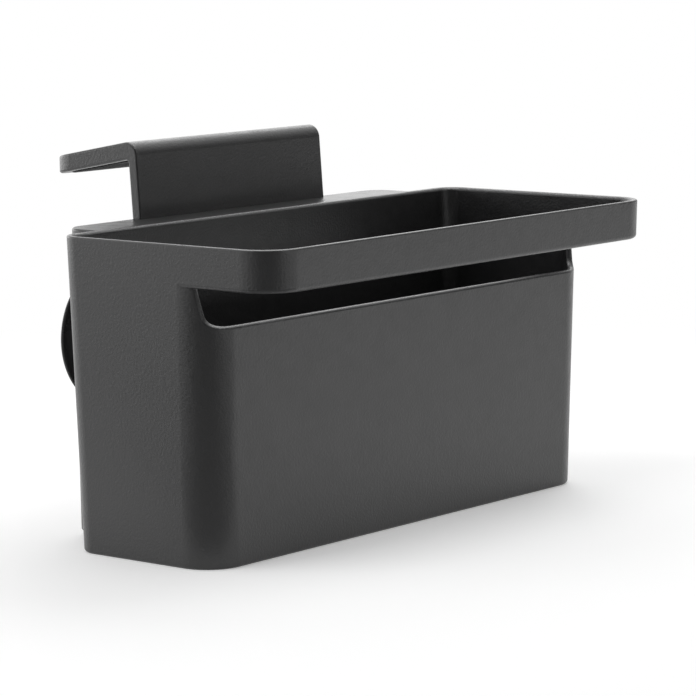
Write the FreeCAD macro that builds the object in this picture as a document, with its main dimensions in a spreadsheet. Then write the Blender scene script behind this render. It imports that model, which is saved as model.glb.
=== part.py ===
"""Hang-over storage caddy: a tapered bucket with a front rail, on a hanger with two suction cups.

Millimetres, +Z up, X along the rail, -Y the front. The origin is the middle of the bucket's base.
"""
import FreeCAD, Part
import math
import os
import Sketcher

DIMENSIONS = [
    # bucket
    ("base_length", 199.0, "bucket length at the base"),
    ("base_depth", 60.0, "bucket depth at the base"),
    ("rim_height", 102.5, "height of the rim above the base"),
    ("side_flare", 3.0, "how far each end wall leans out between base and rim"),
    ("front_flare", 1.8, "how far the front and rear walls lean out between base and rim"),
    ("wall", 2.5, "wall of the bucket and its rail"),
    ("floor_wall", 2.5, "floor of the bucket"),
    ("front_corner", 13.0, "outer radius of the front upright corners"),
    ("rear_corner", 8.0, "outer radius of the rear upright corners"),
    ("floor_round", 4.0, "radius between floor and walls inside"),
    ("base_round", 1.2, "radius round the base's outer edge"),
    ("rim_round", 0.6, "radius on the rim's outer edge"),
    ("rim_inner_round", 1.3, "radius on the rim's inner edge"),
    # rail and the slot below it
    ("rail_reach", 26.0, "how far the rail stands in front of the front wall"),
    ("rail_height", 13.5, "height of the rail and rim ring"),
    ("slot_height", 12.3, "open height between front wall and rail"),
    ("slot_set_back", 4.4, "how far the slot's corner lies behind the front wall"),
    ("slot_lean", 2.4, "how far the slot's end leans back at the rail"),
    ("slot_corner", 4.0, "radius at the slot's lower corners"),
    ("slot_round", 1.0, "radius on the slot's edges"),
    # drain slots
    ("drain_width", 3.6, "width of a drain slot"),
    ("drain_length", 26.0, "length of a drain slot"),
    ("drain_pitch", 24.0, "distance between drain slots"),
    # hooks on the bucket's rear wall
    ("hook_spacing", 112.0, "distance between the two rear hooks"),
    ("hook_width", 30.0, "width of a rear hook"),
    ("hook_stem", 3.5, "height of a hook's stem"),
    ("hook_lip", 2.5, "thickness of a hook's lip"),
    ("hook_drop", 11.0, "how far the lip hangs below the stem"),
    ("hook_gap", 0.5, "gap on each side of a hook's lip and of its seat"),
    # hanger housing
    ("housing_width", 163.6, "width of the hanger's housing at its top"),
    ("housing_taper", 1.3, "how far each end of the housing leans in towards its base"),
    ("housing_depth", 17.5, "housing's rear face behind the bucket's rim"),
    ("housing_base", 1.7, "height of the housing's lower face"),
    ("housing_step", 0.3, "how far the housing's top lies below the rim"),
    ("housing_wall", 2.5, "wall of the housing"),
    ("housing_corner", 8.0, "radius of the housing's rear upright corners"),
    ("housing_round", 0.8, "radius round the housing's top and lower face"),
    ("body_gap", 0.3, "gap between bucket and housing"),
    ("seat_fall", 20.2, "how far a hook's seat lies below the housing's top"),
    ("seat_height", 14.0, "height of a hook's seat"),
    ("rib_wall", 2.0, "thickness of the housing's ribs"),
    ("rib_pitch", 24.0, "distance between the housing's ribs"),
    ("rib_set_back", 2.0, "how far the ribs stand back from the bucket"),
    # tongue and flange that go over an edge
    ("tongue_width", 96.2, "width of the tongue and flange"),
    ("tongue_wall", 4.0, "thickness of the tongue"),
    ("tongue_lean", 1.9, "how far the tongue leans back between the housing and the bend"),
    ("bend_height", 26.4, "height of the bend's corner above the housing's top"),
    ("bend_round", 4.5, "outer radius of the bend"),
    ("bend_inner_round", 1.2, "inner radius of the bend"),
    ("flange_reach", 40.8, "length of the flange behind the bend's corner"),
    ("flange_drop", 7.55, "how far the flange falls towards its end"),
    ("flange_wall", 6.0, "height of the flange's edge"),
    ("flange_corner", 10.0, "radius of the flange's rear corners seen from above"),
    ("hanger_round", 0.8, "radius on the outer edges of tongue and flange"),
    # grip pad under the flange
    ("pad_margin", 4.0, "edge left round the grip pad's recess"),
    ("pad_recess", 2.0, "depth of the recess"),
    ("pad_stand", 0.4, "how far the pad stands out of its recess"),
    ("pad_gap", 0.3, "gap round the pad"),
    # suction cups
    ("cup_spacing", 102.0, "distance between the two suction cups"),
    ("cup_fall", 38.8, "how far the cups' axes lie below the housing's top"),
    ("cup_diameter", 48.0, "diameter of a cup's lip"),
    ("cup_depth", 8.5, "distance from the housing to the lip"),
    ("cup_hollow", 5.0, "depth of a cup's hollow"),
    ("cup_lip", 0.8, "thickness of the lip at its edge"),
    ("boss_diameter", 16.0, "diameter of the boss behind a cup"),
    ("boss_length", 2.0, "length of the boss before the dome starts"),
    ("neck_diameter", 8.0, "diameter of the stud's neck"),
    ("head_diameter", 12.5, "diameter of the stud's head"),
    ("head_length", 2.6, "length of the stud's head"),
    ("head_bevel", 1.0, "bevel on the stud's head"),
    ("neck_fit", 0.08, "radial clearance of the neck in its slot"),
    ("head_gap", 0.6, "radial clearance of the head in the slot's entry"),
    ("axial_gap", 0.3, "clearance on each side of the housing's rear wall"),
    ("entry_drop", 12.0, "distance from a cup's axis down to the slot's entry"),
]
DRAIN_COUNT = 7
RIB_COUNT = 3

DOCUMENT = FreeCAD.newDocument("storage_caddy")
SHEET = DOCUMENT.addObject("Spreadsheet::Sheet", "Sizes")


def fill_sheet():
    """Write one row per driving dimension: its meaning, its number and its alias."""
    for line, (alias, value, meaning) in enumerate(DIMENSIONS, start=1):
        SHEET.set(f"A{line}", meaning)
        SHEET.set(f"B{line}", str(value))
        SHEET.setAlias(f"B{line}", alias)
    DOCUMENT.recompute()


class Size:
    """An expression on the sheet's cells that adds, subtracts and scales like a number."""

    def __init__(self, text):
        self.text = text

    def __add__(self, other):
        return Size(f"({self.text} + {text_of(other)})")

    def __sub__(self, other):
        return Size(f"({self.text} - {text_of(other)})")

    def __mul__(self, other):
        return Size(f"({self.text} * {text_of(other)})")

    def __truediv__(self, other):
        return Size(f"({self.text} / {text_of(other)})")

    def __neg__(self):
        return Size(f"(0 - {self.text})")

    def value(self):
        """The expression's present value."""
        return float(SHEET.evalExpression(self.text))


def text_of(size):
    """An expression's text, or a plain number as text."""
    return size.text if isinstance(size, Size) else repr(float(size))


def cell(alias):
    """The sheet's cell of that name, as an expression."""
    return Size(f"{SHEET.Name}.{alias}")


def smaller(first, second):
    """The smaller of two sizes."""
    return Size(f"min({text_of(first)}; {text_of(second)})")


def new_body(label):
    """A sub-part: its label names its file."""
    body = DOCUMENT.addObject("PartDesign::Body", label)
    body.Label = label
    return body


def origin_plane(body, role):
    """One of a body's own origin planes."""
    return next(plane for plane in body.Origin.OriginFeatures if plane.Role == role)


def new_sketch(body, name, role, offset=None):
    """A sketch on one of the body's origin planes, moved along that plane's normal."""
    sketch = body.newObject("Sketcher::SketchObject", name)
    sketch.AttachmentSupport = [(origin_plane(body, role), "")]
    sketch.MapMode = "FlatFace"
    if offset:
        sketch.setExpression("AttachmentOffset.Base.z", offset.text)
    return sketch


def bind(sketch, kind, *where, size):
    """Add a driving constraint and tie it to the sheet."""
    index = sketch.addConstraint(Sketcher.Constraint(kind, *where, size.value()))
    sketch.setExpression(f"Constraints[{index}]", size.text)


def hold_point(sketch, geometry, position, x, y):
    """Tie a point of the sketch to two sizes."""
    bind(sketch, "DistanceX", geometry, position, size=x)
    bind(sketch, "DistanceY", geometry, position, size=y)


def outline(sketch, corners):
    """A closed outline. Each corner is x, y and, where it is rounded, a radius."""
    places = [FreeCAD.Vector(corner[0].value(), corner[1].value(), 0) for corner in corners]
    starts, ends, arcs = [], [], []
    for index, corner in enumerate(corners):
        place = places[index]
        if len(corner) == 2:
            starts.append(place)
            ends.append(place)
            arcs.append(None)
            continue
        back = (places[index - 1] - place).normalize()
        ahead = (places[(index + 1) % len(places)] - place).normalize()
        half_angle = back.getAngle(ahead) / 2
        radius = corner[2].value()
        run = radius / math.tan(half_angle)
        middle = (back + ahead).normalize() * (radius / math.sin(half_angle) - radius)
        ends.append(place + back * run)
        starts.append(place + ahead * run)
        arcs.append(Part.Arc(place + back * run, place + middle, place + ahead * run))
    count = len(corners)
    lines = []
    for index in range(count):
        line = Part.LineSegment(starts[index], ends[(index + 1) % count])
        lines.append(sketch.addGeometry(line, False))
    for index, corner in enumerate(corners):
        before, after = lines[index - 1], lines[index]
        if arcs[index] is None:
            sketch.addConstraint(Sketcher.Constraint("Coincident", before, 2, after, 1))
            hold_point(sketch, after, 1, *corner)
        else:
            round_corner(sketch, before, after, arcs[index], ends[index], corner, places[index])


def round_corner(sketch, before, after, shape, entry, corner, place):
    """An arc between two lines of an outline that would meet at a held corner."""
    arc = sketch.addGeometry(shape, False)
    first = 1 if sketch.getPoint(arc, 1).distanceToPoint(entry) < NEAR else 2
    sketch.addConstraint(Sketcher.Constraint("Tangent", before, 2, arc, first))
    sketch.addConstraint(Sketcher.Constraint("Tangent", arc, 3 - first, after, 1))
    bind(sketch, "Radius", arc, size=corner[2])
    mark = sketch.addGeometry(Part.Point(place), True)
    hold_point(sketch, mark, 1, corner[0], corner[1])
    for line in (before, after):
        sketch.addConstraint(Sketcher.Constraint("PointOnObject", mark, 1, line))


def rectangle(sketch, left, right, low, high):
    """A rectangle between two pairs of sizes."""
    outline(sketch, [(left, low), (right, low), (right, high), (left, high)])


def circle(sketch, x, y, diameter):
    """A circle at a place in the sketch."""
    centre = FreeCAD.Vector(x.value(), y.value(), 0)
    shape = Part.Circle(centre, FreeCAD.Vector(0, 0, 1), diameter.value() / 2)
    index = sketch.addGeometry(shape, False)
    hold_point(sketch, index, 3, x, y)
    bind(sketch, "Diameter", index, size=diameter)


def upright_slot(sketch, x, low, high, width):
    """A slot with round ends, its two end centres one above the other."""
    radius = width.value() / 2
    normal = FreeCAD.Vector(0, 0, 1)
    bottom = FreeCAD.Vector(x.value(), low.value(), 0)
    top = FreeCAD.Vector(x.value(), high.value(), 0)
    side = FreeCAD.Vector(radius, 0, 0)
    pieces = [
        Part.ArcOfCircle(Part.Circle(top, normal, radius), 0, math.pi),
        Part.LineSegment(top - side, bottom - side),
        Part.ArcOfCircle(Part.Circle(bottom, normal, radius), math.pi, 2 * math.pi),
        Part.LineSegment(bottom + side, top + side),
    ]
    for piece in pieces:
        sketch.addGeometry(piece, False)
    for index in range(len(pieces)):
        after = (index + 1) % len(pieces)
        sketch.addConstraint(Sketcher.Constraint("Tangent", index, 2, after, 1))
    hold_point(sketch, 0, 3, x, high)
    hold_point(sketch, 2, 3, x, low)
    bind(sketch, "Radius", 0, size=width / 2)


def loft(body, name, kind, lower, upper):
    """A straight loft between two sketches, added or taken away."""
    feature = body.newObject(f"PartDesign::{kind}Loft", name)
    feature.Profile = lower
    feature.Sections = [upper]
    feature.Ruled = True
    DOCUMENT.recompute()
    return feature


def pad(body, name, sketch, length, both_ways=False, turned=False):
    """A pad of a sketch, to one side or half to each side."""
    feature = body.newObject("PartDesign::Pad", name)
    feature.Profile = sketch
    feature.Midplane = both_ways
    feature.Reversed = turned
    feature.setExpression("Length", length.text)
    DOCUMENT.recompute()
    return feature


def pocket(body, name, sketch, depth, both_ways=False, turned=False):
    """A pocket of a sketch, which has to take some of the body away."""
    before = body.Shape.Volume
    feature = body.newObject("PartDesign::Pocket", name)
    feature.Profile = sketch
    feature.Midplane = both_ways
    feature.Reversed = turned
    feature.setExpression("Length", depth.text)
    DOCUMENT.recompute()
    if not feature.Shape.Volume < before:
        raise RuntimeError(f"{name} cuts nothing")
    return feature


def round_edges(body, name, chosen, radius):
    """A fillet on the edges that a test picks from the body as it stands."""
    base = body.Tip
    names = [f"Edge{number}" for number, edge in enumerate(base.Shape.Edges, start=1) if chosen(edge)]
    if not names:
        raise RuntimeError(f"{name} finds no edge")
    feature = body.newObject("PartDesign::Fillet", name)
    feature.Base = (base, names)
    feature.setExpression("Radius", radius.text)
    DOCUMENT.recompute()
    return feature


def mirror(body, name, features):
    """Repeat features on the other side of the middle plane."""
    feature = body.newObject("PartDesign::Mirrored", name)
    feature.Originals = features
    feature.MirrorPlane = (origin_plane(body, "YZ_Plane"), [""])
    body.Tip = feature
    DOCUMENT.recompute()


def row(body, name, feature, span, count):
    """Repeat a feature along X, evenly over a span."""
    pattern = body.newObject("PartDesign::LinearPattern", name)
    pattern.Originals = [feature]
    pattern.Direction = (origin_plane(body, "YZ_Plane"), [""])
    pattern.setExpression("Length", span.text)
    pattern.Occurrences = count
    body.Tip = pattern
    DOCUMENT.recompute()


NEAR = 1e-4


def flat_at(edge, axis, size):
    """Whether a whole edge lies at one size along X, Y or Z."""
    box = edge.BoundBox
    low, high = getattr(box, f"{axis}Min"), getattr(box, f"{axis}Max")
    return max(abs(low - size.value()), abs(high - size.value())) < NEAR


fill_sheet()

ZERO = Size("0")
FAR = cell("base_length") * 2
RIM = cell("rim_height")
RAIL_UNDER = RIM - cell("rail_height")
SLOT_FLOOR = RAIL_UNDER - cell("slot_height")
FLOOR = cell("floor_wall")
WALL = cell("wall")


def half_length_at(height):
    """Half the bucket's outer length at a height."""
    return cell("base_length") / 2 + cell("side_flare") * height / RIM


def half_depth_at(height):
    """Half the bucket's outer depth at a height."""
    return cell("base_depth") / 2 + cell("front_flare") * height / RIM


HOUSING_WALL = cell("housing_wall")
HOUSING_TOP = RIM - cell("housing_step")
HOUSING_REAR = half_depth_at(RIM) + cell("housing_depth")
PANEL_FRONT = HOUSING_REAR - HOUSING_WALL
SEAT_TOP = HOUSING_TOP - cell("seat_fall")
SEAT_FRONT = half_depth_at(SEAT_TOP) + cell("body_gap") + cell("hook_gap")
SEAT_REAR = SEAT_FRONT + HOUSING_WALL
CUP_AXIS = HOUSING_TOP - cell("cup_fall")


def section(body, name, height, inset, reach):
    """The bucket's outline at a height, set in by a wall and stretched forward by a reach."""
    sketch = new_sketch(body, name, "XY_Plane", height)
    across = half_length_at(height) - inset
    rear = half_depth_at(height) - inset
    front = -(half_depth_at(height) + reach - inset)
    front_round = cell("front_corner") - inset
    rear_round = cell("rear_corner") - inset
    outline(sketch, [
        (-across, front, front_round),
        (across, front, front_round),
        (across, rear, rear_round),
        (-across, rear, rear_round),
    ])
    return sketch


def bucket_and_ring(body, name, kind, lowest, inset):
    """The bucket up to the rail and the ring above it, as one block or as one hollow."""
    reach = cell("rail_reach")
    low = section(body, f"{name}_low", lowest, inset, ZERO)
    high = section(body, f"{name}_high", RAIL_UNDER, inset, ZERO)
    loft(body, f"{name}_bucket", kind, low, high)
    ring_low = section(body, f"{name}_ring_low", RAIL_UNDER, inset, reach)
    ring_high = section(body, f"{name}_ring_high", RIM, inset, reach)
    loft(body, f"{name}_ring", kind, ring_low, ring_high)


def cut_slot(body):
    """Open the front wall below the rail, round both front corners."""
    sketch = new_sketch(body, "slot_outline", "YZ_Plane")
    front = -half_depth_at(SLOT_FLOOR)
    ahead = front - cell("rail_reach")
    corner = front + cell("slot_set_back")
    outline(sketch, [
        (ahead, SLOT_FLOOR),
        (corner, SLOT_FLOOR, cell("slot_corner")),
        (corner + cell("slot_lean"), RAIL_UNDER),
        (ahead, RAIL_UNDER),
    ])
    pocket(body, "slot", sketch, FAR, both_ways=True)

    def slot_edge(edge):
        box = edge.BoundBox
        inside = box.ZMin > SLOT_FLOOR.value() - NEAR and box.ZMin < RAIL_UNDER.value() - NEAR
        below = box.ZMax < RAIL_UNDER.value() + NEAR
        across_wall = box.YLength < NEAR and box.XLength < cell("front_corner").value()
        return inside and below and box.YMax < 0 and not across_wall

    round_edges(body, "slot_edges", slot_edge, smaller(cell("slot_round"), WALL * 0.45))


def cut_drain(body):
    """Drain slots through the floor, evenly spaced about the middle."""
    sketch = new_sketch(body, "drain_outline", "XY_Plane")
    span = cell("drain_pitch") * (DRAIN_COUNT - 1)
    reach = (cell("drain_length") - cell("drain_width")) / 2
    upright_slot(sketch, -(span / 2), -reach, reach, cell("drain_width"))
    first = pocket(body, "drain_slot", sketch, FLOOR, turned=True)
    row(body, "drain_row", first, span, DRAIN_COUNT)


def add_hooks(body):
    """Two hooks on the rear wall that hang on the hanger's seats."""
    side = (cell("hook_spacing") - cell("hook_width")) / 2
    sketch = new_sketch(body, "hook_outline", "YZ_Plane", side)
    root = half_depth_at(SEAT_TOP) - WALL / 2
    lip_front = SEAT_REAR + cell("hook_gap")
    lip_rear = lip_front + cell("hook_lip")
    top = SEAT_TOP + cell("hook_stem")
    low = SEAT_TOP - cell("hook_drop")
    outline(sketch, [
        (root, SEAT_TOP),
        (lip_front, SEAT_TOP),
        (lip_front, low),
        (lip_rear, low),
        (lip_rear, top),
        (root, top),
    ])
    hook = pad(body, "hook", sketch, cell("hook_width"))
    mirror(body, "hook_pair", [hook])


def rim_edge(edge, outer):
    """Whether an edge is one of the rim's outer ones, which reach the ring's outline, or an inner one."""
    box = edge.BoundBox
    margin = WALL.value() / 2
    across, rear = half_length_at(RIM).value() - margin, half_depth_at(RIM).value() - margin
    front = -(rear + cell("rail_reach").value())
    reaches = box.XMax > across or box.XMin < -across or box.YMax > rear or box.YMin < front
    return flat_at(edge, "Z", RIM) and reaches == outer


def make_bucket():
    """Bucket, rim ring, rail, slot, drain slots and rear hooks, in one moulding."""
    body = new_body("caddy_body")
    bucket_and_ring(body, "outer", "Additive", ZERO, ZERO)
    bucket_and_ring(body, "inner", "Subtractive", FLOOR, WALL)
    round_edges(body, "floor_edge", lambda edge: flat_at(edge, "Z", FLOOR), cell("floor_round"))
    cut_slot(body)
    round_edges(body, "base_edge", lambda edge: flat_at(edge, "Z", ZERO), cell("base_round"))
    outer_round = smaller(cell("rim_round"), WALL * 0.4)
    inner_round = smaller(cell("rim_inner_round"), WALL * 0.55)
    round_edges(body, "rim_outer_edge", lambda edge: rim_edge(edge, True), outer_round)
    round_edges(body, "rim_inner_edge", lambda edge: rim_edge(edge, False), inner_round)
    cut_drain(body)
    add_hooks(body)
    return body


def housing_outline(sketch, inset):
    """The housing seen from behind, set in by a wall: its ends lean in towards its base."""
    low = cell("housing_base") + inset
    high = HOUSING_TOP - inset
    wide = cell("housing_width") / 2 - inset
    narrow = wide - cell("housing_taper")
    outline(sketch, [(-narrow, low), (narrow, low), (wide, high), (-wide, high)])


def add_housing(body):
    """The housing's block: its front leans with the bucket's rear wall, its other edges are rounded."""
    block = new_sketch(body, "housing_outline", "XZ_Plane", -HOUSING_REAR)
    housing_outline(block, ZERO)
    pad(body, "housing", block, HOUSING_REAR - half_depth_at(ZERO))
    front = new_sketch(body, "housing_front", "YZ_Plane")
    outline(front, [
        (ZERO, ZERO),
        (half_depth_at(ZERO) + cell("body_gap"), ZERO),
        (half_depth_at(RIM) + cell("body_gap"), RIM),
        (ZERO, RIM),
    ])
    pocket(body, "bucket_space", front, FAR, both_ways=True)

    def rear_corner(edge):
        return flat_at(edge, "Y", HOUSING_REAR) and edge.BoundBox.ZLength > NEAR

    round_edges(body, "housing_corners", rear_corner, cell("housing_corner"))

    def outer_edge(edge):
        level = flat_at(edge, "Z", cell("housing_base")) or flat_at(edge, "Z", HOUSING_TOP)
        along_bucket = edge.BoundBox.YMax < half_depth_at(RIM).value() + cell("body_gap").value()
        return level and not along_bucket

    round_edges(body, "housing_edges", outer_edge, cell("housing_round"))


def hollow_housing(body):
    """Open the housing towards the bucket and round its inner rear corners."""
    sketch = new_sketch(body, "housing_inside", "XZ_Plane", -PANEL_FRONT)
    housing_outline(sketch, HOUSING_WALL)
    pocket(body, "housing_hollow", sketch, FAR, turned=True)

    def inner_corner(edge):
        low = cell("housing_base") + HOUSING_WALL
        return flat_at(edge, "Y", PANEL_FRONT) and edge.BoundBox.ZLength > low.value()

    round_edges(body, "housing_inner_corners", inner_corner, cell("housing_corner") - HOUSING_WALL)


def add_seats(body):
    """Two seats inside the housing: a wall for the hook between two arms to the rear panel."""
    sketch = new_sketch(body, "seat_outline", "XY_Plane", SEAT_TOP - cell("seat_height"))
    middle = cell("hook_spacing") / 2
    inner = cell("hook_width") / 2 + cell("hook_gap")
    outer = inner + HOUSING_WALL
    root = PANEL_FRONT + HOUSING_WALL / 2
    outline(sketch, [
        (middle - outer, SEAT_FRONT),
        (middle + outer, SEAT_FRONT),
        (middle + outer, root),
        (middle + inner, root),
        (middle + inner, SEAT_REAR),
        (middle - inner, SEAT_REAR),
        (middle - inner, root),
        (middle - outer, root),
    ])
    seat = pad(body, "seat", sketch, cell("seat_height"))
    mirror(body, "seat_pair", [seat])


def add_ribs(body):
    """Upright ribs behind the bucket that stiffen the housing below the tongue."""
    sketch = new_sketch(body, "rib_outline", "XZ_Plane", -(PANEL_FRONT + HOUSING_WALL / 2))
    span = cell("rib_pitch") * (RIB_COUNT - 1)
    half = cell("rib_wall") / 2
    low = cell("housing_base") + HOUSING_WALL / 2
    high = HOUSING_TOP - HOUSING_WALL / 2
    rectangle(sketch, -(span / 2) - half, -(span / 2) + half, low, high)
    length = PANEL_FRONT + HOUSING_WALL / 2 - half_depth_at(RIM) - cell("body_gap") - cell("rib_set_back")
    rib = pad(body, "rib", sketch, length)
    row(body, "rib_row", rib, span, RIB_COUNT)


def cut_keyholes(body):
    """A keyhole for each suction cup: a wide entry below and a close slot up to the cup's axis."""
    x = cell("cup_spacing") / 2
    entry = CUP_AXIS - cell("entry_drop")
    front = -PANEL_FRONT
    hole = new_sketch(body, "entry_outline", "XZ_Plane", front)
    circle(hole, x, entry, cell("head_diameter") + cell("head_gap") * 2)
    wide = pocket(body, "entry", hole, HOUSING_WALL)
    slot = new_sketch(body, "keyhole_outline", "XZ_Plane", front)
    upright_slot(slot, x, entry, CUP_AXIS, cell("neck_diameter") + cell("neck_fit") * 2)
    narrow = pocket(body, "keyhole", slot, HOUSING_WALL)
    mirror(body, "keyhole_pair", [wide, narrow])


TONGUE_FRONT = HOUSING_REAR - cell("tongue_wall")
BEND_Y = TONGUE_FRONT + cell("tongue_lean")
BEND_Z = HOUSING_TOP + cell("bend_height")
FLANGE_END = BEND_Y + cell("flange_reach")
FLANGE_SLOPE = cell("flange_drop") / cell("flange_reach")
TONGUE_SLOPE = cell("tongue_lean") / cell("bend_height")


def flange_under(y):
    """Height of the flange's lower face."""
    return BEND_Z - cell("flange_wall") - FLANGE_SLOPE * (y - BEND_Y)


def inner_bend():
    """Where the tongue's rear face meets the flange's lower face."""
    fall = FLANGE_SLOPE * (cell("tongue_wall") - cell("tongue_lean"))
    rise = (cell("bend_height") - cell("flange_wall") - fall) / (TONGUE_SLOPE * FLANGE_SLOPE + 1)
    return HOUSING_REAR + TONGUE_SLOPE * rise, HOUSING_TOP + rise


def add_tongue(body):
    """The tongue that rises from the housing and the flange that slopes down behind it."""
    sketch = new_sketch(body, "tongue_outline", "YZ_Plane")
    root = HOUSING_TOP - HOUSING_WALL
    outline(sketch, [
        (TONGUE_FRONT, root),
        (HOUSING_REAR, root),
        (HOUSING_REAR, HOUSING_TOP),
        (*inner_bend(), cell("bend_inner_round")),
        (FLANGE_END, flange_under(FLANGE_END)),
        (FLANGE_END, flange_under(FLANGE_END) + cell("flange_wall")),
        (BEND_Y, BEND_Z, cell("bend_round")),
        (TONGUE_FRONT, HOUSING_TOP),
    ])
    pad(body, "tongue", sketch, cell("tongue_width"), both_ways=True)
    half = cell("tongue_width") / 2

    def flange_corner(edge):
        upright = edge.BoundBox.ZLength > edge.BoundBox.XLength
        return upright and flat_at(edge, "Y", FLANGE_END)

    round_edges(body, "flange_corners", flange_corner, cell("flange_corner"))

    def outer_edge(edge):
        box = edge.BoundBox
        above = box.ZMin > HOUSING_TOP.value() - NEAR and box.ZMax > HOUSING_TOP.value() + NEAR
        side = flat_at(edge, "X", half) or flat_at(edge, "X", -half)
        rear = box.YMax > FLANGE_END.value() - NEAR and box.ZLength < cell("flange_wall").value() / 2
        return above and (side or rear)

    round_edges(body, "tongue_edges", outer_edge, cell("hanger_round"))


def pad_outline(sketch, gap, low, high):
    """A strip along the flange's lower face, between two levels measured up from that face."""
    start = inner_bend()[0] + cell("pad_margin") + gap
    end = FLANGE_END - cell("pad_margin") - gap
    outline(sketch, [
        (start, flange_under(start) + low),
        (end, flange_under(end) + low),
        (end, flange_under(end) + high),
        (start, flange_under(start) + high),
    ])


PAD_RECESS_WIDTH = cell("tongue_width") - cell("pad_margin") * 2


def cut_pad_recess(body):
    """The recess under the flange that holds the grip pad."""
    sketch = new_sketch(body, "recess_outline", "YZ_Plane")
    pad_outline(sketch, ZERO, -cell("pad_recess"), cell("pad_recess"))
    pocket(body, "pad_recess", sketch, PAD_RECESS_WIDTH, both_ways=True)
    end = FLANGE_END - cell("pad_margin")

    def recess_corner(edge):
        return flat_at(edge, "Y", end) and edge.BoundBox.ZLength > NEAR

    round_edges(body, "recess_corners", recess_corner, cell("flange_corner") - cell("pad_margin"))


def make_hanger():
    """Housing, seats, ribs, keyholes, tongue and flange, in one moulding."""
    body = new_body("hanger")
    add_housing(body)
    hollow_housing(body)
    add_tongue(body)
    cut_pad_recess(body)
    add_seats(body)
    add_ribs(body)
    cut_keyholes(body)
    return body


def make_pad():
    """The grip pad, seated against the roof of its recess."""
    body = new_body("grip_pad")
    sketch = new_sketch(body, "pad_outline", "YZ_Plane")
    pad_outline(sketch, cell("pad_gap"), -cell("pad_stand"), cell("pad_recess"))
    pad(body, "pad", sketch, PAD_RECESS_WIDTH - cell("pad_gap") * 2, both_ways=True)
    margin = cell("pad_margin") + cell("pad_gap")

    def pad_corner(edge):
        return flat_at(edge, "Y", FLANGE_END - margin) and edge.BoundBox.ZLength > NEAR

    round_edges(body, "pad_corners", pad_corner, cell("flange_corner") - margin)
    return body


def make_cup(label, side):
    """A suction cup turned about its own Y axis, from the stud's head to the lip."""
    body = new_body(label)
    sketch = new_sketch(body, f"{label}_profile", "XY_Plane")
    gap = cell("axial_gap")
    neck = cell("neck_diameter") / 2
    head = cell("head_diameter") / 2
    boss = cell("boss_diameter") / 2
    lip = cell("cup_diameter") / 2
    head_front = -(HOUSING_WALL + gap)
    head_end = head_front - cell("head_length")
    dome = gap + cell("boss_length")
    outline(sketch, [
        (ZERO, head_end),
        (head - cell("head_bevel"), head_end),
        (head, head_end + cell("head_bevel")),
        (head, head_front),
        (neck, head_front),
        (neck, gap),
        (boss, gap),
        (boss, dome),
        (lip, cell("cup_depth") - cell("cup_lip")),
        (lip, cell("cup_depth")),
        (lip - cell("cup_lip"), cell("cup_depth")),
        (ZERO, cell("cup_depth") - cell("cup_hollow")),
    ])
    turn = body.newObject("PartDesign::Revolution", f"{label}_turn")
    turn.Profile = sketch
    turn.ReferenceAxis = (sketch, ["V_Axis"])
    turn.Angle = 360
    body.setExpression("Placement.Base.x", (cell("cup_spacing") / 2 * side).text)
    body.setExpression("Placement.Base.y", HOUSING_REAR.text)
    body.setExpression("Placement.Base.z", CUP_AXIS.text)
    DOCUMENT.recompute()
    return body


def check(bodies):
    """Stop if a feature failed or a sub-part is not one valid solid."""
    for item in DOCUMENT.Objects:
        if "Invalid" in item.State or "Error" in item.State:
            raise RuntimeError(f"{item.Label} failed: {item.State}")
    for body in bodies:
        if body.Shape.isNull() or not body.Shape.isValid() or len(body.Shape.Solids) != 1:
            raise RuntimeError(f"{body.Label} is not one valid solid")


def main():
    """Build every sub-part, check it and write it."""
    bodies = [
        make_bucket(),
        make_hanger(),
        make_pad(),
        make_cup("suction_cup_left", -1),
        make_cup("suction_cup_right", 1),
    ]
    DOCUMENT.recompute()
    check(bodies)
    os.makedirs("parts", exist_ok=True)
    for body in bodies:
        body.Shape.exportStep(f"parts/{body.Label}.step")
        print(body.Label, "volume", round(body.Shape.Volume / 1000, 2), "cm3")


main()
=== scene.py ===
# %% [markdown]
# # A storage caddy that hangs over an edge
# The object is a tapered dark grey bucket with a long front rail, lifted onto a hanger that goes over
# an edge and holds to a smooth wall with two suction cups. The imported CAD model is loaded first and
# stays fixed: it gives the true sizes, and every visual piece is made around it, in metres.

# %% The frame and its box
import bmesh
import bpy
import math
from mathutils import Matrix, Vector


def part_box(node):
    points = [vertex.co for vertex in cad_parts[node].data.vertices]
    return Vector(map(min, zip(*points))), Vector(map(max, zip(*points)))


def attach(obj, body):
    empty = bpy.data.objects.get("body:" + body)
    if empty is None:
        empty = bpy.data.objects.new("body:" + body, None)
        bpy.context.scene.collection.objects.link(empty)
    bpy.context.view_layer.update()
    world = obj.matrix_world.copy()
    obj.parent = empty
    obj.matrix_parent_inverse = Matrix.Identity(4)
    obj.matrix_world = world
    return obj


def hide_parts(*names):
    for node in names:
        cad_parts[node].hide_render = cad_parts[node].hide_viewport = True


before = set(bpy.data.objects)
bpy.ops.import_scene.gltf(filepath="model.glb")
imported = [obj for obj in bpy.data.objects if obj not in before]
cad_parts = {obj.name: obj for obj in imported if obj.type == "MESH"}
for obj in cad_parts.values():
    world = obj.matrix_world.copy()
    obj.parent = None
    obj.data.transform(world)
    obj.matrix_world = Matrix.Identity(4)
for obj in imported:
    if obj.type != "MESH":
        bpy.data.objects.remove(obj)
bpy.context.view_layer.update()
MM = 0.001

# %% [markdown]
# ## Helpers for pieces
# A piece starts as a bmesh. Its place is kept in its mesh, so its object sits at the origin, just like
# a CAD node. Every piece rides on a CAD body and hides the CAD node that it stands for.


# %% From a bmesh to an object in the scene
def finished_mesh(name, shape):
    """A bmesh turned into a mesh and let go."""
    mesh = bpy.data.meshes.new(name)
    shape.to_mesh(mesh)
    shape.free()
    return mesh


def place_object(name, data):
    """A new object in the scene, at the origin."""
    made = bpy.data.objects.new(name, data)
    bpy.context.scene.collection.objects.link(made)
    return made


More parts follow.
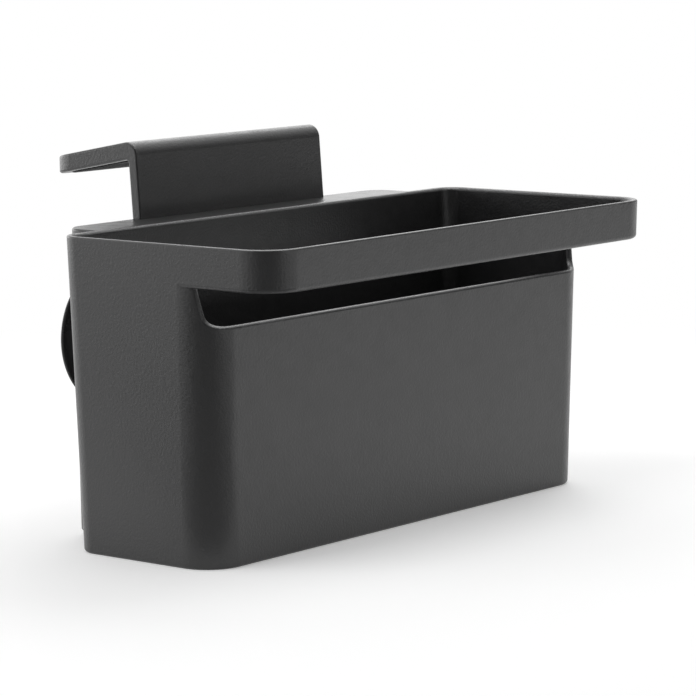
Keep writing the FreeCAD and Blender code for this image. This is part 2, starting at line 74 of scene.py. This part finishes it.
# %% From a bmesh to a piece of the caddy
SHARP_ANGLE = math.radians(50)


def make_piece(name, shape, material, body, replaced):
    """A finished bmesh becomes an object that moves with a body and stands for a CAD node."""
    mesh = finished_mesh(name, shape)
    mesh.materials.append(material)
    for face in mesh.polygons:
        face.use_smooth = True
    mesh.set_sharp_from_angle(angle=SHARP_ANGLE)
    piece = place_object(name, mesh)
    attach(piece, body)
    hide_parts(replaced)
    print(name, len(mesh.polygons), "faces, rides on", body)
    return piece


# %% [markdown]
# ## Moulded plastic
# Bucket and hanger are moulded in dark grey plastic with a fine spark-eroded grain: from close by the
# surface is pebbled, from far it is evenly matte. A flat colour would look like clay, so three noises
# work together: a slow one varies the tone a little, a middle one varies the gloss, and a fine one is
# the grain that bump turns into tiny highlights. What is the same all over is set on the shader itself.


# %% Helpers for node materials
def set_inputs(node, values):
    """Plain values on a node's own sockets."""
    for socket, value in values.items():
        node.inputs[socket].default_value = value


def add_node(tree, kind, inputs=None, **settings):
    """A node with its settings and the values of its inputs."""
    node = tree.nodes.new(kind)
    for name, value in settings.items():
        setattr(node, name, value)
    set_inputs(node, inputs or {})
    return node


def new_paint(name):
    """A new material, its node tree and its main shader."""
    material = bpy.data.materials.new(name)
    material.use_nodes = True
    tree = material.node_tree
    return material, tree, tree.nodes["Principled BSDF"]


# %% Noises, and the range that most of their values lie in
NOISE_LOW, NOISE_HIGH = 0.3, 0.7


def noise_at(tree, place, scale, detail, roughness=0.5):
    """A noise texture on the object's own coordinates."""
    values = {"Scale": scale, "Detail": detail, "Roughness": roughness}
    noise = add_node(tree, "ShaderNodeTexNoise", values)
    tree.links.new(place.outputs["Object"], noise.inputs["Vector"])
    return noise


def spread(tree, source, low, high):
    """A noise spread over low to high."""
    values = {"From Min": NOISE_LOW, "From Max": NOISE_HIGH, "To Min": low, "To Max": high}
    node = add_node(tree, "ShaderNodeMapRange", values)
    tree.links.new(source.outputs["Fac"], node.inputs["Value"])
    return node


def two_tones(tree, source, dark, light):
    """A noise between two colours."""
    ramp = add_node(tree, "ShaderNodeValToRGB")
    stops = ramp.color_ramp.elements
    stops[0].position, stops[0].color = NOISE_LOW, (*dark, 1)
    stops[1].position, stops[1].color = NOISE_HIGH, (*light, 1)
    tree.links.new(source.outputs["Fac"], ramp.inputs["Fac"])
    return ramp


# %% A moulded surface
TONE_SCALE, TONE_DETAIL = 26, 3
GLOSS_SCALE, GLOSS_DETAIL = 240, 4
GLOSS_WANDER = 0.04
GRAIN_DETAIL, GRAIN_ROUGHNESS = 2, 0.6


def moulded(name, dark, light, roughness, grain_scale, grain_depth, sockets):
    """Tone and gloss that wander a little, a fine grain in the bump, and plain values for the rest."""
    material, tree, shader = new_paint(name)
    set_inputs(shader, sockets)
    place = add_node(tree, "ShaderNodeTexCoord")
    tone = two_tones(tree, noise_at(tree, place, TONE_SCALE, TONE_DETAIL), dark, light)
    tree.links.new(tone.outputs["Color"], shader.inputs["Base Color"])
    patches = noise_at(tree, place, GLOSS_SCALE, GLOSS_DETAIL)
    shine = spread(tree, patches, roughness - GLOSS_WANDER, roughness + GLOSS_WANDER)
    tree.links.new(shine.outputs["Result"], shader.inputs["Roughness"])
    grain = noise_at(tree, place, grain_scale, GRAIN_DETAIL, GRAIN_ROUGHNESS)
    bump = add_node(tree, "ShaderNodeBump", {"Strength": 1.0, "Distance": grain_depth})
    tree.links.new(grain.outputs["Fac"], bump.inputs["Height"])
    tree.links.new(bump.outputs["Normal"], shader.inputs["Normal"])
    print(name, "has a roughness of about", roughness)
    return material


# %% The plastic of bucket and hanger
DARK_PLASTIC = {
    "dark": (0.013, 0.013, 0.0135),
    "light": (0.017, 0.017, 0.0175),
    "roughness": 0.34,
    "grain_scale": 1200,
    "grain_depth": 0.11 * MM,
    "sockets": {"Specular IOR Level": 0.72},
}
body_plastic = moulded("body_plastic", **DARK_PLASTIC)
hanger_plastic = moulded("hanger_plastic", **DARK_PLASTIC)

# %% [markdown]
# ## Hanger
# The hanger is one moulding: a rear housing with ribs and keyholes, an upright tongue and the sloping
# flange that goes over an edge. Its CAD mesh already has all of that, with its rounds, so modelling it
# again would gain nothing. It keeps its shape and only gets the plastic.

# %% The hanger in its plastic
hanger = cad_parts["hanger"]
hanger.data.materials.clear()
hanger.data.materials.append(hanger_plastic)
print("the hanger keeps its CAD shape and gets", hanger_plastic.name)

# %% [markdown]
# ## Caddy body
# The bucket, its rim and the long front rail are one moulding. Its CAD mesh is right but for one thing:
# the rail's lower edge is sharp, while a moulded rail has a soft round there that shows as a lighter
# band. A bevel would fail where the edge fades into the bucket's wall at the corners. So the round is
# planed off: a tapered block with the rail's outline gets a bevelled lower edge, and what a slightly
# larger block has more than this one and the bucket together is taken off a copy of the CAD mesh. Wide
# walls beside narrow rounds would shade unevenly, so a Weighted Normal modifier evens them at the end.

# %% Sizes of the bucket that the plane has to follow, in millimetres
BASE_HALF = (99.5, 30.0)
FLARE = (3.0, 1.8)
RIM_HEIGHT = 102.5
RAIL_UNDER = 89.0
RAIL_REACH = 26.0
FRONT_RADIUS = 13.0
REAR_RADIUS = 8.0
BUCKET_CORNER_STEPS = 40


def half_size(height):
    """Half the bucket's length and depth at a height."""
    return [half + flare * height / RIM_HEIGHT for half, flare in zip(BASE_HALF, FLARE)]


print("half the bucket's length and depth at its rim", half_size(RIM_HEIGHT))


# %% Rounding corners and drawing an outline out
def round_off(shape, geom, radius, steps, affect="EDGES"):
    """A round on edges, or on the corners of a flat outline."""
    bmesh.ops.bevel(shape, geom=geom, offset=radius, offset_type="OFFSET", affect=affect,
                    segments=steps, profile=0.5, material=-1)


def draw_out(shape, height):
    """A flat outline drawn out to a block, and the vertices of its new end."""
    drawn = bmesh.ops.extrude_face_region(shape, geom=list(shape.faces))
    fresh = [item for item in drawn["geom"] if isinstance(item, bmesh.types.BMVert)]
    bmesh.ops.translate(shape, verts=fresh, vec=(0, 0, height))
    return fresh


# %% A tapered block with round corners
def tapered_block(low, high, reach, grow):
    """The bucket's outline between two heights, reaching forward and grown a little, in metres."""
    shape = bmesh.new()
    across, deep = half_size(low)
    right, rear, front = across + grow, deep + grow, -(deep + reach + grow)
    places = ((-right, front), (right, front), (right, rear), (-right, rear))
    corners = [shape.verts.new((x * MM, y * MM, low * MM)) for x, y in places]
    shape.faces.new(corners)
    for pair, radius in ((corners[:2], FRONT_RADIUS), (corners[2:], REAR_RADIUS)):
        round_off(shape, pair, (radius + grow) * MM, BUCKET_CORNER_STEPS, affect="VERTICES")
    upper = draw_out(shape, (high - low) * MM)
    wider, deeper = [late - early for late, early in zip(half_size(high), half_size(low))]
    for side in (-1, 1):
        end = [vert for vert in upper if vert.co.x * side > 0]
        bmesh.ops.translate(shape, verts=end, vec=(side * wider * MM, 0, 0))
        wall = [vert for vert in upper if vert.co.y * side > 0]
        bmesh.ops.translate(shape, verts=wall, vec=(0, side * deeper * MM, 0))
    bmesh.ops.recalc_face_normals(shape, faces=shape.faces)
    return shape


# %% One Boolean of two closed shapes
def carve(target, tool):
    """What is left of the target where the tool has been."""
    block = place_object("target", finished_mesh("target", target))
    blade = place_object("tool", finished_mesh("tool", tool))
    cut = block.modifiers.new("cut", "BOOLEAN")
    cut.operation = "DIFFERENCE"
    cut.solver = "MANIFOLD"
    cut.object = blade
    depsgraph = bpy.context.evaluated_depsgraph_get()
    done = bpy.data.meshes.new_from_object(block.evaluated_get(depsgraph))
    left = bmesh.new()
    left.from_mesh(done)
    spent = [done, block.data, blade.data]
    for holder in (block, blade):
        bpy.data.objects.remove(holder)
    for mesh in spent:
        bpy.data.meshes.remove(mesh)
    return left


# %% The plane that has the round of the rail's lower edge, in millimetres
RAIL_ROUND = 1.5
RAIL_ROUND_STEPS = 6
PLANE_BELOW, PLANE_ABOVE, PLANE_AROUND = 1.0, 0.2, 1.0
BUCKET_ABOVE, BUCKET_AROUND = 5.0, 0.01
LEVEL_PLAY = 0.01

rounded = tapered_block(RAIL_UNDER, RIM_HEIGHT, RAIL_REACH, 0.0)
level = (RAIL_UNDER + LEVEL_PLAY) * MM
lower_edge = [edge for edge in rounded.edges if all(vert.co.z < level for vert in edge.verts)]
round_off(rounded, lower_edge, RAIL_ROUND * MM, RAIL_ROUND_STEPS)
plane_top = RAIL_UNDER + RAIL_ROUND + PLANE_ABOVE
plane = tapered_block(RAIL_UNDER - PLANE_BELOW, plane_top, RAIL_REACH, PLANE_AROUND)
plane = carve(plane, rounded)
plane = carve(plane, tapered_block(0, RAIL_UNDER + BUCKET_ABOVE, 0, BUCKET_AROUND))
print("the plane has", len(plane.faces), "faces")

# %% Planing a copy of the bucket
MERGE_GAP = 0.000001
FLAT_ANGLE = math.radians(0.2)


def open_edges(shape):
    """How many edges don't join exactly two faces."""
    return sum(not edge.is_manifold for edge in shape.edges)


bucket = bmesh.new()
bucket.from_mesh(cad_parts["caddy_body"].data)
bmesh.ops.remove_doubles(bucket, verts=bucket.verts, dist=MERGE_GAP)
bmesh.ops.dissolve_limit(bucket, angle_limit=FLAT_ANGLE, verts=bucket.verts, edges=bucket.edges)
print("merged bucket", len(bucket.faces), "faces, open edges", open_edges(bucket))
bucket = carve(bucket, plane)
bmesh.ops.remove_doubles(bucket, verts=bucket.verts, dist=MERGE_GAP)
print("planed bucket", len(bucket.faces), "faces, open edges", open_edges(bucket))
shell = make_piece("caddy_shell", bucket, body_plastic, "caddy", "caddy_body")
even = shell.modifiers.new("even_shading", "WEIGHTED_NORMAL")
even.keep_sharp = True

# %% [markdown]
# ## Rubber
# The cups and the grip pad are soft rubber. The cups are smooth and dark grey with the faint bloom that
# rubber gets, which is a little sheen. The pad is black and dull, so it mirrors hardly anything. Both
# are moulded too, so the plastic's way of making a surface serves again, with other values.

# %% The rubber of cups and pad
CUP_RUBBER = {
    "dark": (0.042, 0.042, 0.043),
    "light": (0.052, 0.052, 0.053),
    "roughness": 0.28,
    "grain_scale": 700,
    "grain_depth": 0.02 * MM,
    "sockets": {"Sheen Weight": 0.06, "Sheen Roughness": 0.5},
}
PAD_RUBBER = {
    "dark": (0.012, 0.012, 0.012),
    "light": (0.019, 0.019, 0.019),
    "roughness": 0.62,
    "grain_scale": 1100,
    "grain_depth": 0.05 * MM,
    "sockets": {"Specular IOR Level": 0.15},
}
cup_rubber = moulded("cup_rubber", **CUP_RUBBER)
pad_rubber = moulded("pad_rubber", **PAD_RUBBER)

# %% [markdown]
# ## Suction cups
# A suction cup is a turned shape: a mushroom stud that snaps into the hanger's keyhole, a boss, and a
# thin dome that flares out to a soft lip. The CAD mesh has that form, but its corners are sharp and its
# lip is plain, so the cup is turned anew. Only half its outline is drawn, as a chain of points, and
# spin turns it about the stud's axis. The hollow side steps down from a flat sealing lip to the bowl,
# as on most cups of this size. The rings at its outer corners are bevelled afterwards, because rubber
# has no sharp edge. The inner corners stay as they are, so that the neck still fits its keyhole, and
# the fine bead on the lip catches the light as in the photograph.

# %% The outline of a cup, radius and distance from the hanger's rear face, in millimetres
CUP_OUTLINE = [
    (0.0, -5.4), (5.25, -5.4), (6.25, -4.4), (6.25, -2.8), (4.0, -2.8), (4.0, 0.3), (8.0, 0.3),
    (8.0, 2.1), (10.5, 2.7), (14.0, 3.7), (17.5, 5.0), (20.5, 6.3), (22.6, 7.4), (23.4, 7.3),
    (24.0, 7.7), (24.0, 8.3), (23.5, 8.5), (22.4, 8.5), (21.9, 8.2), (21.6, 7.5), (20.4, 6.9),
    (16.0, 5.2), (12.0, 4.2), (8.0, 3.7), (4.0, 3.5), (0.0, 3.5),
]
CUP_DEPTH = max(along for radius, along in CUP_OUTLINE)
CUP_STEPS = 96
CUP_CORNER_ANGLE = math.radians(30)
CUP_CORNER_ROUND = 0.22 * MM
CUP_CORNER_STEPS = 3
print("a cup's lip stands", CUP_DEPTH, "mm behind the hanger")


# %% Turning the outline about the stud's axis
def turn_cup(centre):
    """A closed cup, spun about an axis along Y through its centre."""
    shape = bmesh.new()
    points = [shape.verts.new((radius * MM, along * MM, 0)) for radius, along in CUP_OUTLINE]
    chain = [shape.edges.new(pair) for pair in zip(points, points[1:])]
    bmesh.ops.spin(shape, geom=points + chain, cent=(0, 0, 0), axis=(0, 1, 0), angle=math.tau,
                   steps=CUP_STEPS, use_merge=True)
    bmesh.ops.remove_doubles(shape, verts=shape.verts, dist=MERGE_GAP)
    bmesh.ops.recalc_face_normals(shape, faces=shape.faces)
    rings = [edge for edge in shape.edges
             if edge.is_convex and edge.calc_face_angle(0) > CUP_CORNER_ANGLE]
    print("a cup has", len(rings), "edges on its outer corners")
    round_off(shape, rings, CUP_CORNER_ROUND, CUP_CORNER_STEPS)
    bmesh.ops.translate(shape, verts=shape.verts, vec=centre)
    return shape


for side in ("left", "right"):
    low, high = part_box(f"suction_cup_{side}")
    middle = (low + high) / 2
    rear_face = high.y - CUP_DEPTH * MM
    cup = turn_cup(Vector((middle.x, rear_face, middle.z)))
    make_piece(f"cup_{side}", cup, cup_rubber, f"cup_{side}", f"suction_cup_{side}")

# %% [markdown]
# ## Grip pad
# The strip under the flange is soft, with shallow grooves along the edge it sits on. It starts as a
# flat outline with two round corners and is drawn down to its thickness. A texture could fake the
# grooves, but they show at the pad's ends, so they are cut: each gets four cuts across the pad, and
# the bed between the inner two is pressed in. Last, the pad is leaned to the flange's slope.

# %% The pad's place and size
pad_low, pad_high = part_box("grip_pad")
FLANGE_DROP, FLANGE_REACH = 7.55, 40.8
PAD_SLOPE = FLANGE_DROP / FLANGE_REACH
PAD_CORNER = 5.7 * MM
PAD_CORNER_STEPS = 10
PAD_THICKNESS = 2.4 * MM
PAD_EDGE_ROUND = 0.4 * MM
PAD_EDGE_STEPS = 3
print("the pad is", round((pad_high.x - pad_low.x) / MM, 1), "mm long")


# %% The pad before it is grooved
def flat_pad():
    """The pad lying flat, with its upper face at height zero and a soft lower edge."""
    shape = bmesh.new()
    places = ((pad_low.x, pad_low.y), (pad_high.x, pad_low.y),
              (pad_high.x, pad_high.y), (pad_low.x, pad_high.y))
    corners = [shape.verts.new((x, y, 0)) for x, y in places]
    shape.faces.new(corners)
    round_off(shape, corners[2:], PAD_CORNER, PAD_CORNER_STEPS, affect="VERTICES")
    draw_out(shape, -PAD_THICKNESS)
    bmesh.ops.recalc_face_normals(shape, faces=shape.faces)
    lower = [edge for edge in shape.edges
             if all(vert.co.z < -PAD_THICKNESS / 2 for vert in edge.verts)]
    round_off(shape, lower, PAD_EDGE_ROUND, PAD_EDGE_STEPS)
    return shape


# %% Cutting and pressing one groove, its cuts and bed as shares of its width
GROOVE_PITCH = 3.2 * MM
GROOVE_WIDTH = 0.9 * MM
GROOVE_DEPTH = 0.35 * MM
GROOVE_CUTS = (-0.5, -0.25, 0.25, 0.5)
GROOVE_BED = 0.3
UNDERSIDE = -0.7 * PAD_THICKNESS
CUT_PLAY = 0.0000001


def press_groove(shape, middle):
    """One shallow groove across the pad's underside."""
    for share in GROOVE_CUTS:
        everything = shape.verts[:] + shape.edges[:] + shape.faces[:]
        bmesh.ops.bisect_plane(shape, geom=everything, dist=CUT_PLAY,
                               plane_co=(0, middle + share * GROOVE_WIDTH, 0), plane_no=(0, 1, 0))
    bed = [vert for vert in shape.verts
           if abs(vert.co.y - middle) < GROOVE_WIDTH * GROOVE_BED and vert.co.z < UNDERSIDE]
    bmesh.ops.translate(shape, verts=bed, vec=(0, 0, GROOVE_DEPTH))


# %% The grooved pad, leaned to the flange
strip = flat_pad()
count = int((pad_high.y - pad_low.y - 2 * PAD_CORNER) / GROOVE_PITCH)
first = (pad_low.y + pad_high.y) / 2 - GROOVE_PITCH * (count - 1) / 2
for number in range(count):
    press_groove(strip, first + number * GROOVE_PITCH)
for vert in strip.verts:
    vert.co.z += pad_high.z - PAD_SLOPE * (vert.co.y - pad_low.y)
print("the pad has", count, "grooves")
make_piece("grip_strip", strip, pad_rubber, "hanger", "grip_pad")

# %% [markdown]
# ## Floor and surroundings
# The photograph is a product shot on white: a pale floor keeps a soft contact shadow and runs into the
# background without a line. A real studio bends paper up for that. Here the floor is a flat sheet whose
# paint fades to plain white away from the object, for the camera and for reflections only, and the
# world around it is white for them too and an even soft light for everything else.

# %% The floor's sheet
FLOOR_SIZE = 12.0
sheet = bmesh.new()
bmesh.ops.create_grid(sheet, x_segments=1, y_segments=1, size=FLOOR_SIZE / 2)
floor = place_object("floor", finished_mesh("floor", sheet))
print("the floor is", FLOOR_SIZE, "m wide")


# %% Telling what is seen from what only lights
def seen_directly(tree):
    """One for a ray from the camera, from a gloss or through something clear, else zero."""
    path = add_node(tree, "ShaderNodeLightPath")
    total = path.outputs["Is Camera Ray"]
    for name in ("Is Glossy Ray", "Is Transmission Ray"):
        either = add_node(tree, "ShaderNodeMath", operation="MAXIMUM")
        tree.links.new(total, either.inputs[0])
        tree.links.new(path.outputs[name], either.inputs[1])
        total = either.outputs[0]
    return total


# %% The floor's paint, lifted a little where it is seen
WHITE = (1, 1, 1, 1)
FLOOR_LIFT = 0.25

floor_paint, tree, shader = new_paint("floor_paint")
floor.data.materials.append(floor_paint)
set_inputs(shader, {
    "Base Color": (0.86, 0.86, 0.86, 1),
    "Roughness": 0.9,
    "Specular IOR Level": 0.1,
    "Emission Color": WHITE,
})
seen = seen_directly(tree)
lift = add_node(tree, "ShaderNodeMath", {1: FLOOR_LIFT}, operation="MULTIPLY")
tree.links.new(seen, lift.inputs[0])
tree.links.new(lift.outputs[0], shader.inputs["Emission Strength"])

# %% Its fade to white, between two distances from the object in metres
FADE_START, FADE_END = 0.14, 0.5

place = add_node(tree, "ShaderNodeTexCoord")
away = add_node(tree, "ShaderNodeVectorMath", operation="LENGTH")
tree.links.new(place.outputs["Object"], away.inputs[0])
fade = add_node(tree, "ShaderNodeMapRange", {"From Min": FADE_START, "From Max": FADE_END},
                interpolation_type="SMOOTHSTEP")
tree.links.new(away.outputs["Value"], fade.inputs["Value"])
share = add_node(tree, "ShaderNodeMath", operation="MULTIPLY")
tree.links.new(fade.outputs["Result"], share.inputs[0])
tree.links.new(seen, share.inputs[1])
white = add_node(tree, "ShaderNodeEmission")
sweep = add_node(tree, "ShaderNodeMixShader")
tree.links.new(share.outputs[0], sweep.inputs["Fac"])
tree.links.new(shader.outputs["BSDF"], sweep.inputs[1])
tree.links.new(white.outputs["Emission"], sweep.inputs[2])
tree.links.new(sweep.outputs["Shader"], tree.nodes["Material Output"].inputs["Surface"])
print("the floor is white from", FADE_END, "m on")

# %% The white surroundings
ROOM_LIGHT = 0.6
ROOM_SEEN = 1.0

world = bpy.data.worlds.new("white_room")
world.use_nodes = True
bpy.context.scene.world = world
tree = world.node_tree
room = tree.nodes["Background"]
set_inputs(room, {"Color": WHITE})
strength = add_node(tree, "ShaderNodeMapRange", {"To Min": ROOM_LIGHT, "To Max": ROOM_SEEN})
tree.links.new(seen_directly(tree), strength.inputs["Value"])
tree.links.new(strength.outputs["Result"], room.inputs["Strength"])
print("the room lights with", ROOM_LIGHT, "and is seen as", ROOM_SEEN)

# %% [markdown]
# ## Camera
# The camera's place and lens were found from straight edges of the rim, rail, base and hook in the
# photograph, so the part stands in the picture as the real one does.

# %% The camera, placed by the photograph's edges
LOOK = Vector((0.768514, 0.624726, -0.138214))
RIGHT = Vector((0.629494, -0.776920, -0.011529))
UP = Vector((0.114584, 0.078144, 0.990335))
EYE = Vector((-0.84448, -0.69029, 0.20923))
FOCAL_PIXELS = 3263.4
IMAGE_PIXELS = 696
SENSOR_WIDTH = 36

camera_data = bpy.data.cameras.new("photo_camera")
camera_data.sensor_width = SENSOR_WIDTH
camera_data.lens = FOCAL_PIXELS / IMAGE_PIXELS * SENSOR_WIDTH
camera = place_object("photo_camera", camera_data)
stand = Matrix((RIGHT, UP, -LOOK)).transposed().to_4x4()
stand.translation = EYE
camera.matrix_world = stand
bpy.context.scene.camera = camera
print("the camera stands", round(EYE.length, 2), "m away, lens", round(camera_data.lens, 1), "mm")

# %% [markdown]
# ## Cards and soft boxes
# Dark plastic shows what it mirrors more than its own tone, so a studio shapes it with cards. A dark
# card on the camera's side and dark sheets on the table make the round corner dark, and bright cards
# behind and overhead draw the light lines on the rim and the slot. A card is a sheet whose brightness
# is kept in its points, so that it can fade from one edge to the other. All but the first are seen by
# reflections alone. Two soft boxes behind the object light the floor and give the shadow.

# %% Paint that glows as much as a card's points say
card_paint, tree, shader = new_paint("card_paint")
set_inputs(shader, {
    "Base Color": (0.02, 0.02, 0.02, 1),
    "Roughness": 0.9,
    "Emission Color": WHITE,
})
glow = add_node(tree, "ShaderNodeAttribute", attribute_name="glow")
tree.links.new(glow.outputs["Fac"], shader.inputs["Emission Strength"])


# %% One card
def put_card(name, towards, distances, heights, width, glows, shades=False):
    """A card between two edges, seen by reflections alone, or one that shades as well."""
    flat = Vector((towards[0], towards[1], 0)).normalized()
    side = Vector((0, 0, 1)).cross(flat) * (width / 2)
    shape = bmesh.new()
    brightness = shape.verts.layers.float.new("glow")
    for distance, height, light in zip(distances, heights, glows):
        middle = flat * distance + Vector((0, 0, height))
        ends = [shape.verts.new(middle - side), shape.verts.new(middle + side)]
        for end in ends:
            end[brightness] = light
        shape.edges.new(ends)
    bmesh.ops.bridge_loops(shape, edges=list(shape.edges))
    card = place_object(name, finished_mesh(name, shape))
    card.data.materials.append(card_paint)
    card.visible_camera = False
    card.visible_diffuse = shades
    card.visible_shadow = shades
    print(name, "glows from", glows[0], "to", glows[1])


# %% The cards around the caddy, in metres from the middle of its base
TABLE_HEIGHTS = (0.002, 0.002)

put_card("camera_card", -LOOK, distances=(1.3, 1.3), heights=(0.05, 1.6), width=2.4,
         glows=(0.05, 0.05), shades=True)
put_card("table_edge", -LOOK, distances=(0.105, 0.7), heights=TABLE_HEIGHTS, width=0.7,
         glows=(0.38, 0.08))
put_card("table_far", -LOOK, distances=(0.7, 1.2), heights=TABLE_HEIGHTS, width=0.9,
         glows=(0.0, 0.0))
put_card("right_card", (0.75, -0.66), distances=(0.9, 0.9), heights=(0.12, 0.85), width=1.3,
         glows=(0.0, 0.8))
put_card("back_left_card", (-0.16, 0.987), distances=(1.2, 1.2), heights=(0.02, 0.5), width=1.5,
         glows=(3.2, 2.6))
put_card("back_right_card", (0.71, 0.70), distances=(1.2, 1.2), heights=(0.02, 1.2), width=1.2,
         glows=(1.1, 3.4))
put_card("overhead_card", LOOK, distances=(0.7, -0.3), heights=(1.35, 1.5), width=1.6,
         glows=(4.5, 4.5))

# %% Two soft boxes behind the object, left and right
BOX_SIZE = 0.8


def softbox(name, place, brightness):
    """A square lamp that faces the object and is not seen itself."""
    lamp = bpy.data.lights.new(name, "AREA")
    lamp.size = BOX_SIZE
    lamp.energy = brightness * math.pi * BOX_SIZE * BOX_SIZE
    box = place_object(name, lamp)
    facing = place.to_track_quat("Z", "Y").to_matrix().to_4x4()
    box.matrix_world = Matrix.Translation(place) @ facing
    box.visible_camera = False
    box.visible_glossy = False
    print(name, "gives", round(lamp.energy, 2), "W")


softbox("left_box", Vector((-0.75, 0.4, 1.0)), brightness=2.3)
softbox("right_box", Vector((0.76, 0.34, 1.0)), brightness=2.9)

# %% The picture's plain colours
bpy.context.scene.view_settings.view_transform = "Standard"
print("colours are shown as", bpy.context.scene.view_settings.view_transform)
